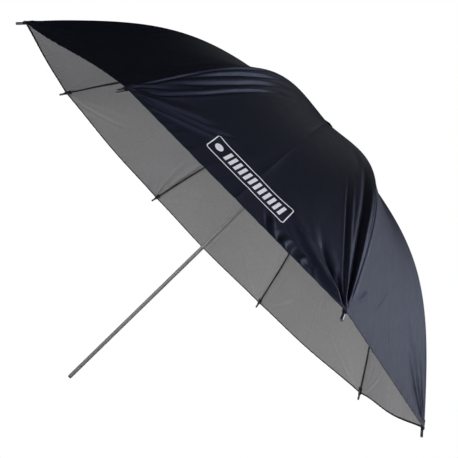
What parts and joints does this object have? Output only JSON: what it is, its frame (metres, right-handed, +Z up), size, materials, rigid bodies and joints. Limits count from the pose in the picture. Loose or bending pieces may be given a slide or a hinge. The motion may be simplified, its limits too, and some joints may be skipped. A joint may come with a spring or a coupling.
{
  "type": "umbrella reflector",
  "caption": "Folding studio umbrella reflector: straight slim shaft, curved ribs, forked stretchers, sliding runner, and a cloth dome that is black outside and silver inside.",
  "frame": {"origin": "centre of the shaft's lower end face", "axes": "+Z up along the shaft to the crown; -Y faces the middle of the front gore; the dome is open towards -Z"},
  "size_m": [1.0218, 1.0218, 0.7532],
  "materials": {
    "canopy_cloth": "black nylon taffeta outside, silver-grey coating inside",
    "shaft_metal": "satin tube",
    "rib_steel": "black lacquered steel channel",
    "tip_metal": "gloss black",
    "moulded_black": "moulded nylon",
    "end_plug": "dark grey moulded",
    "bright_wire": "drawn wire",
    "rivet_steel": "headed pin",
    "spring_steel": "spring strip",
    "cap_metal": "dark lacquer",
    "rosette_cloth": "black patch"
  },
  "bodies": {
    "shaft": {"shaft_tube": "shaft_metal", "shaft_end_plug": "end_plug", "crown": "moulded_black", "crown_wire": "bright_wire", "crown_pin": "rivet_steel", "top_cap": "cap_metal", "top_rosette": "rosette_cloth", "runner_stop_pin": "rivet_steel", "catch_pin": "rivet_steel"},
    "runner": {"runner": "moulded_black", "runner_wire": "bright_wire"},
    "catch": {"catch_spring": "spring_steel"},
    "rib_1": {"rib_1": "rib_steel", "rib_tip_1": "tip_metal", "stretcher_rivet_1": "rivet_steel"},
    "stretcher_1": {"stretcher_1": "rib_steel"},
    "gore_1_near_rib_1": {"gore_1_near_rib_1": "canopy_cloth"},
    "gore_8_near_rib_1": {"gore_8_near_rib_1": "canopy_cloth"},
    "rib_2": {"rib_2": "rib_steel", "rib_tip_2": "tip_metal", "stretcher_rivet_2": "rivet_steel"},
    "stretcher_2": {"stretcher_2": "rib_steel"},
    "gore_2_near_rib_2": {"gore_2_near_rib_2": "canopy_cloth"},
    "gore_1_near_rib_2": {"gore_1_near_rib_2": "canopy_cloth"},
    "rib_3": {"rib_3": "rib_steel", "rib_tip_3": "tip_metal", "stretcher_rivet_3": "rivet_steel"},
    "stretcher_3": {"stretcher_3": "rib_steel"},
    "gore_3_near_rib_3": {"gore_3_near_rib_3": "canopy_cloth"},
    "gore_2_near_rib_3": {"gore_2_near_rib_3": "canopy_cloth"},
    "rib_4": {"rib_4": "rib_steel", "rib_tip_4": "tip_metal", "stretcher_rivet_4": "rivet_steel"},
    "stretcher_4": {"stretcher_4": "rib_steel"},
    "gore_4_near_rib_4": {"gore_4_near_rib_4": "canopy_cloth"},
    "gore_3_near_rib_4": {"gore_3_near_rib_4": "canopy_cloth"},
    "rib_5": {"rib_5": "rib_steel", "rib_tip_5": "tip_metal", "stretcher_rivet_5": "rivet_steel"},
    "stretcher_5": {"stretcher_5": "rib_steel"},
    "gore_5_near_rib_5": {"gore_5_near_rib_5": "canopy_cloth"},
    "gore_4_near_rib_5": {"gore_4_near_rib_5": "canopy_cloth"},
    "rib_6": {"rib_6": "rib_steel", "rib_tip_6": "tip_metal", "stretcher_rivet_6": "rivet_steel"},
    "stretcher_6": {"stretcher_6": "rib_steel"},
    "gore_6_near_rib_6": {"gore_6_near_rib_6": "canopy_cloth"},
    "gore_5_near_rib_6": {"gore_5_near_rib_6": "canopy_cloth"},
    "rib_7": {"rib_7": "rib_steel", "rib_tip_7": "tip_metal", "stretcher_rivet_7": "rivet_steel"},
    "stretcher_7": {"stretcher_7": "rib_steel"},
    "gore_7_near_rib_7": {"gore_7_near_rib_7": "canopy_cloth"},
    "gore_6_near_rib_7": {"gore_6_near_rib_7": "canopy_cloth"},
    "rib_8": {"rib_8": "rib_steel", "rib_tip_8": "tip_metal", "stretcher_rivet_8": "rivet_steel"},
    "stretcher_8": {"stretcher_8": "rib_steel"},
    "gore_8_near_rib_8": {"gore_8_near_rib_8": "canopy_cloth"},
    "gore_7_near_rib_8": {"gore_7_near_rib_8": "canopy_cloth"}
  },
  "joints": [
    {"name": "canopy_fold", "type": "hinge", "parent": "shaft", "child": "rib_1", "pos_m": [-0.00344, -0.00831, 0.741], "axis": [0.9239, -0.3827, 0], "range_deg": [0, 57], "deforming": ["catch_spring", "gore_1_near_rib_1", "gore_8_near_rib_1", "gore_2_near_rib_2", "gore_1_near_rib_2", "gore_3_near_rib_3", "gore_2_near_rib_3", "gore_4_near_rib_4", "gore_3_near_rib_4", "gore_5_near_rib_5", "gore_4_near_rib_5", "gore_6_near_rib_6", "gore_5_near_rib_6", "gore_7_near_rib_7", "gore_6_near_rib_7", "gore_8_near_rib_8", "gore_7_near_rib_8"]},
    {"name": "stretcher_1_swing", "type": "hinge", "parent": "rib_1", "child": "stretcher_1", "pos_m": [-0.10015, -0.24178, 0.66766], "axis": [0.9239, -0.3827, 0], "range_deg": [-115, 1]},
    {"name": "gore_1_near_rib_1_pleat", "type": "hinge", "parent": "rib_1", "child": "gore_1_near_rib_1", "pos_m": [-0.00179, -0.009, 0.741], "axis": [-0.6348, 0.7354, -0.237], "range_deg": [-0.5, 27.84]},
    {"name": "gore_8_near_rib_1_pleat", "type": "hinge", "parent": "rib_1", "child": "gore_8_near_rib_1", "pos_m": [-0.0051, -0.00763, 0.741], "axis": [-0.9689, -0.0711, 0.237], "range_deg": [-0.5, 27.84]},
    {"name": "rib_2_fold", "type": "hinge", "parent": "shaft", "child": "rib_2", "pos_m": [0.00344, -0.00831, 0.741], "axis": [0.9239, 0.3827, 0], "range_deg": [-0.5, 57.5]},
    {"name": "stretcher_2_swing", "type": "hinge", "parent": "rib_2", "child": "stretcher_2", "pos_m": [0.10015, -0.24178, 0.66766], "axis": [0.9239, 0.3827, 0], "range_deg": [-115, 1]},
    {"name": "gore_2_near_rib_2_pleat", "type": "hinge", "parent": "rib_2", "child": "gore_2_near_rib_2", "pos_m": [0.0051, -0.00763, 0.741], "axis": [-0.9689, 0.0711, -0.237], "range_deg": [-0.5, 27.84]},
    {"name": "gore_1_near_rib_2_pleat", "type": "hinge", "parent": "rib_2", "child": "gore_1_near_rib_2", "pos_m": [0.00179, -0.009, 0.741], "axis": [-0.6348, -0.7354, 0.237], "range_deg": [-0.5, 27.84]},
    {"name": "rib_3_fold", "type": "hinge", "parent": "shaft", "child": "rib_3", "pos_m": [0.00831, -0.00344, 0.741], "axis": [0.3827, 0.9239, 0], "range_deg": [-0.5, 57.5]},
    {"name": "stretcher_3_swing", "type": "hinge", "parent": "rib_3", "child": "stretcher_3", "pos_m": [0.24178, -0.10015, 0.66766], "axis": [0.3827, 0.9239, 0], "range_deg": [-115, 1]},
    {"name": "gore_3_near_rib_3_pleat", "type": "hinge", "parent": "rib_3", "child": "gore_3_near_rib_3", "pos_m": [0.009, -0.00179, 0.741], "axis": [-0.7354, -0.6348, -0.237], "range_deg": [-0.5, 27.84]},
    {"name": "gore_2_near_rib_3_pleat", "type": "hinge", "parent": "rib_3", "child": "gore_2_near_rib_3", "pos_m": [0.00763, -0.0051, 0.741], "axis": [0.0711, -0.9689, 0.237], "range_deg": [-0.5, 27.84]},
    {"name": "rib_4_fold", "type": "hinge", "parent": "shaft", "child": "rib_4", "pos_m": [0.00831, 0.00344, 0.741], "axis": [-0.3827, 0.9239, 0], "range_deg": [-0.5, 57.5]},
    {"name": "stretcher_4_swing", "type": "hinge", "parent": "rib_4", "child": "stretcher_4", "pos_m": [0.24178, 0.10015, 0.66766], "axis": [-0.3827, 0.9239, 0], "range_deg": [-115, 1]},
    {"name": "gore_4_near_rib_4_pleat", "type": "hinge", "parent": "rib_4", "child": "gore_4_near_rib_4", "pos_m": [0.00763, 0.0051, 0.741], "axis": [-0.0711, -0.9689, -0.237], "range_deg": [-0.5, 27.84]},
    {"name": "gore_3_near_rib_4_pleat", "type": "hinge", "parent": "rib_4", "child": "gore_3_near_rib_4", "pos_m": [0.009, 0.00179, 0.741], "axis": [0.7354, -0.6348, 0.237], "range_deg": [-0.5, 27.84]},
    {"name": "rib_5_fold", "type": "hinge", "parent": "shaft", "child": "rib_5", "pos_m": [0.00344, 0.00831, 0.741], "axis": [-0.9239, 0.3827, 0], "range_deg": [-0.5, 57.5]},
    {"name": "stretcher_5_swing", "type": "hinge", "parent": "rib_5", "child": "stretcher_5", "pos_m": [0.10015, 0.24178, 0.66766], "axis": [-0.9239, 0.3827, 0], "range_deg": [-115, 1]},
    {"name": "gore_5_near_rib_5_pleat", "type": "hinge", "parent": "rib_5", "child": "gore_5_near_rib_5", "pos_m": [0.00179, 0.009, 0.741], "axis": [0.6348, -0.7354, -0.237], "range_deg": [-0.5, 27.84]},
    {"name": "gore_4_near_rib_5_pleat", "type": "hinge", "parent": "rib_5", "child": "gore_4_near_rib_5", "pos_m": [0.0051, 0.00763, 0.741], "axis": [0.9689, 0.0711, 0.237], "range_deg": [-0.5, 27.84]},
    {"name": "rib_6_fold", "type": "hinge", "parent": "shaft", "child": "rib_6", "pos_m": [-0.00344, 0.00831, 0.741], "axis": [-0.9239, -0.3827, 0], "range_deg": [-0.5, 57.5]},
    {"name": "stretcher_6_swing", "type": "hinge", "parent": "rib_6", "child": "stretcher_6", "pos_m": [-0.10015, 0.24178, 0.66766], "axis": [-0.9239, -0.3827, 0], "range_deg": [-115, 1]},
    {"name": "gore_6_near_rib_6_pleat", "type": "hinge", "parent": "rib_6", "child": "gore_6_near_rib_6", "pos_m": [-0.0051, 0.00763, 0.741], "axis": [0.9689, -0.0711, -0.237], "range_deg": [-0.5, 27.84]},
    {"name": "gore_5_near_rib_6_pleat", "type": "hinge", "parent": "rib_6", "child": "gore_5_near_rib_6", "pos_m": [-0.00179, 0.009, 0.741], "axis": [0.6348, 0.7354, 0.237], "range_deg": [-0.5, 27.84]},
    {"name": "rib_7_fold", "type": "hinge", "parent": "shaft", "child": "rib_7", "pos_m": [-0.00831, 0.00344, 0.741], "axis": [-0.3827, -0.9239, 0], "range_deg": [-0.5, 57.5]},
    {"name": "stretcher_7_swing", "type": "hinge", "parent": "rib_7", "child": "stretcher_7", "pos_m": [-0.24178, 0.10015, 0.66766], "axis": [-0.3827, -0.9239, 0], "range_deg": [-115, 1]},
    {"name": "gore_7_near_rib_7_pleat", "type": "hinge", "parent": "rib_7", "child": "gore_7_near_rib_7", "pos_m": [-0.009, 0.00179, 0.741], "axis": [0.7354, 0.6348, -0.237], "range_deg": [-0.5, 27.84]},
    {"name": "gore_6_near_rib_7_pleat", "type": "hinge", "parent": "rib_7", "child": "gore_6_near_rib_7", "pos_m": [-0.00763, 0.0051, 0.741], "axis": [-0.0711, 0.9689, 0.237], "range_deg": [-0.5, 27.84]},
    {"name": "rib_8_fold", "type": "hinge", "parent": "shaft", "child": "rib_8", "pos_m": [-0.00831, -0.00344, 0.741], "axis": [0.3827, -0.9239, 0], "range_deg": [-0.5, 57.5]},
    {"name": "stretcher_8_swing", "type": "hinge", "parent": "rib_8", "child": "stretcher_8", "pos_m": [-0.24178, -0.10015, 0.66766], "axis": [0.3827, -0.9239, 0], "range_deg": [-115, 1]},
    {"name": "gore_8_near_rib_8_pleat", "type": "hinge", "parent": "rib_8", "child": "gore_8_near_rib_8", "pos_m": [-0.00763, -0.0051, 0.741], "axis": [0.0711, 0.9689, -0.237], "range_deg": [-0.5, 27.84]},
    {"name": "gore_7_near_rib_8_pleat", "type": "hinge", "parent": "rib_8", "child": "gore_7_near_rib_8", "pos_m": [-0.009, -0.00179, 0.741], "axis": [-0.7354, 0.6348, 0.237], "range_deg": [-0.5, 27.84]},
    {"name": "runner_travel", "type": "hinge", "parent": "stretcher_1", "child": "runner", "pos_m": [-0.00344, -0.00831, 0.59432], "axis": [0.9239, -0.3827, 0], "range_deg": [-0.5, 57.5]},
    {"name": "catch_press", "type": "hinge", "parent": "shaft", "child": "catch", "pos_m": [0, -0.0017, 0.50602], "axis": [-1, 0, 0], "range_deg": [0, 4], "stiffness_Nm_per_rad": 0.6}
  ],
  "couplings": [
    {"joint": "stretcher_1_swing", "follows": "canopy_fold", "ratio": -2},
    {"joint": "gore_1_near_rib_1_pleat", "follows": "canopy_fold", "ratio": 0.47965},
    {"joint": "gore_8_near_rib_1_pleat", "follows": "canopy_fold", "ratio": 0.47965},
    {"joint": "rib_2_fold", "follows": "canopy_fold", "ratio": 1},
    {"joint": "stretcher_2_swing", "follows": "canopy_fold", "ratio": -2},
    {"joint": "gore_2_near_rib_2_pleat", "follows": "canopy_fold", "ratio": 0.47965},
    {"joint": "gore_1_near_rib_2_pleat", "follows": "canopy_fold", "ratio": 0.47965},
    {"joint": "rib_3_fold", "follows": "canopy_fold", "ratio": 1},
    {"joint": "stretcher_3_swing", "follows": "canopy_fold", "ratio": -2},
    {"joint": "gore_3_near_rib_3_pleat", "follows": "canopy_fold", "ratio": 0.47965},
    {"joint": "gore_2_near_rib_3_pleat", "follows": "canopy_fold", "ratio": 0.47965},
    {"joint": "rib_4_fold", "follows": "canopy_fold", "ratio": 1},
    {"joint": "stretcher_4_swing", "follows": "canopy_fold", "ratio": -2},
    {"joint": "gore_4_near_rib_4_pleat", "follows": "canopy_fold", "ratio": 0.47965},
    {"joint": "gore_3_near_rib_4_pleat", "follows": "canopy_fold", "ratio": 0.47965},
    {"joint": "rib_5_fold", "follows": "canopy_fold", "ratio": 1},
    {"joint": "stretcher_5_swing", "follows": "canopy_fold", "ratio": -2},
    {"joint": "gore_5_near_rib_5_pleat", "follows": "canopy_fold", "ratio": 0.47965},
    {"joint": "gore_4_near_rib_5_pleat", "follows": "canopy_fold", "ratio": 0.47965},
    {"joint": "rib_6_fold", "follows": "canopy_fold", "ratio": 1},
    {"joint": "stretcher_6_swing", "follows": "canopy_fold", "ratio": -2},
    {"joint": "gore_6_near_rib_6_pleat", "follows": "canopy_fold", "ratio": 0.47965},
    {"joint": "gore_5_near_rib_6_pleat", "follows": "canopy_fold", "ratio": 0.47965},
    {"joint": "rib_7_fold", "follows": "canopy_fold", "ratio": 1},
    {"joint": "stretcher_7_swing", "follows": "canopy_fold", "ratio": -2},
    {"joint": "gore_7_near_rib_7_pleat", "follows": "canopy_fold", "ratio": 0.47965},
    {"joint": "gore_6_near_rib_7_pleat", "follows": "canopy_fold", "ratio": 0.47965},
    {"joint": "rib_8_fold", "follows": "canopy_fold", "ratio": 1},
    {"joint": "stretcher_8_swing", "follows": "canopy_fold", "ratio": -2},
    {"joint": "gore_8_near_rib_8_pleat", "follows": "canopy_fold", "ratio": 0.47965},
    {"joint": "gore_7_near_rib_8_pleat", "follows": "canopy_fold", "ratio": 0.47965},
    {"joint": "runner_travel", "follows": "canopy_fold", "ratio": 1}
  ]
}
